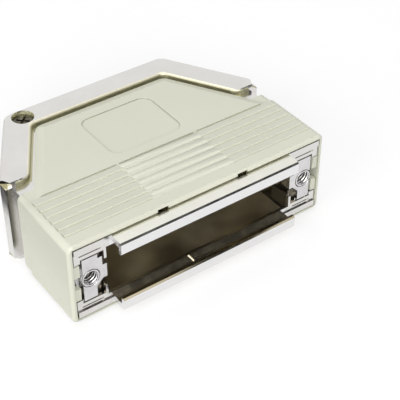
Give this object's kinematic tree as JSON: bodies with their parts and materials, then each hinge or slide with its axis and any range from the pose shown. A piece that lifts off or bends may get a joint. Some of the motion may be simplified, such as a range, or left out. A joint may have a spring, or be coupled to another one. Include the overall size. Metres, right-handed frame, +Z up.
{
  "type": "d-sub hood",
  "caption": "Flat metal hood for a 25-way D-sub connector: two die-cast half shells in a ribbed slide-on plastic sleeve, with straight and slanted cable entries.",
  "frame": {"origin": "centre of the bounding box's base, on the plane the closed hood lies on", "axes": "+X along the width and the row of contacts, -Y out of the mating face, +Y to the cable side, +Z up through the thickness"},
  "size_m": [0.056, 0.0428, 0.018],
  "materials": {
    "die_cast": "satin nickel plate on a fine-grained die casting",
    "plated_steel": "nickel-plated steel",
    "sleeve_plastic": "moulded, slightly greenish ivory, satin"
  },
  "bodies": {
    "hood": {"upper_shell": "die_cast", "lower_shell": "die_cast", "blanking_plug_left": "die_cast", "blanking_plug_right": "die_cast", "lock_bracket_left": "plated_steel", "lock_bracket_right": "plated_steel", "lock_nut_left": "plated_steel", "lock_nut_right": "plated_steel", "cable_clamp": "plated_steel", "clamp_screw_left": "plated_steel", "clamp_screw_right": "plated_steel", "case_screw_upper": "plated_steel", "case_screw_lower": "plated_steel"},
    "sleeve": {"cover_sleeve": "sleeve_plastic"}
  },
  "joints": [
    {"name": "sleeve_slide", "type": "slide", "parent": "hood", "child": "sleeve", "axis": [0, -1, 0], "range_m": [0, 0.0165]}
  ]
}
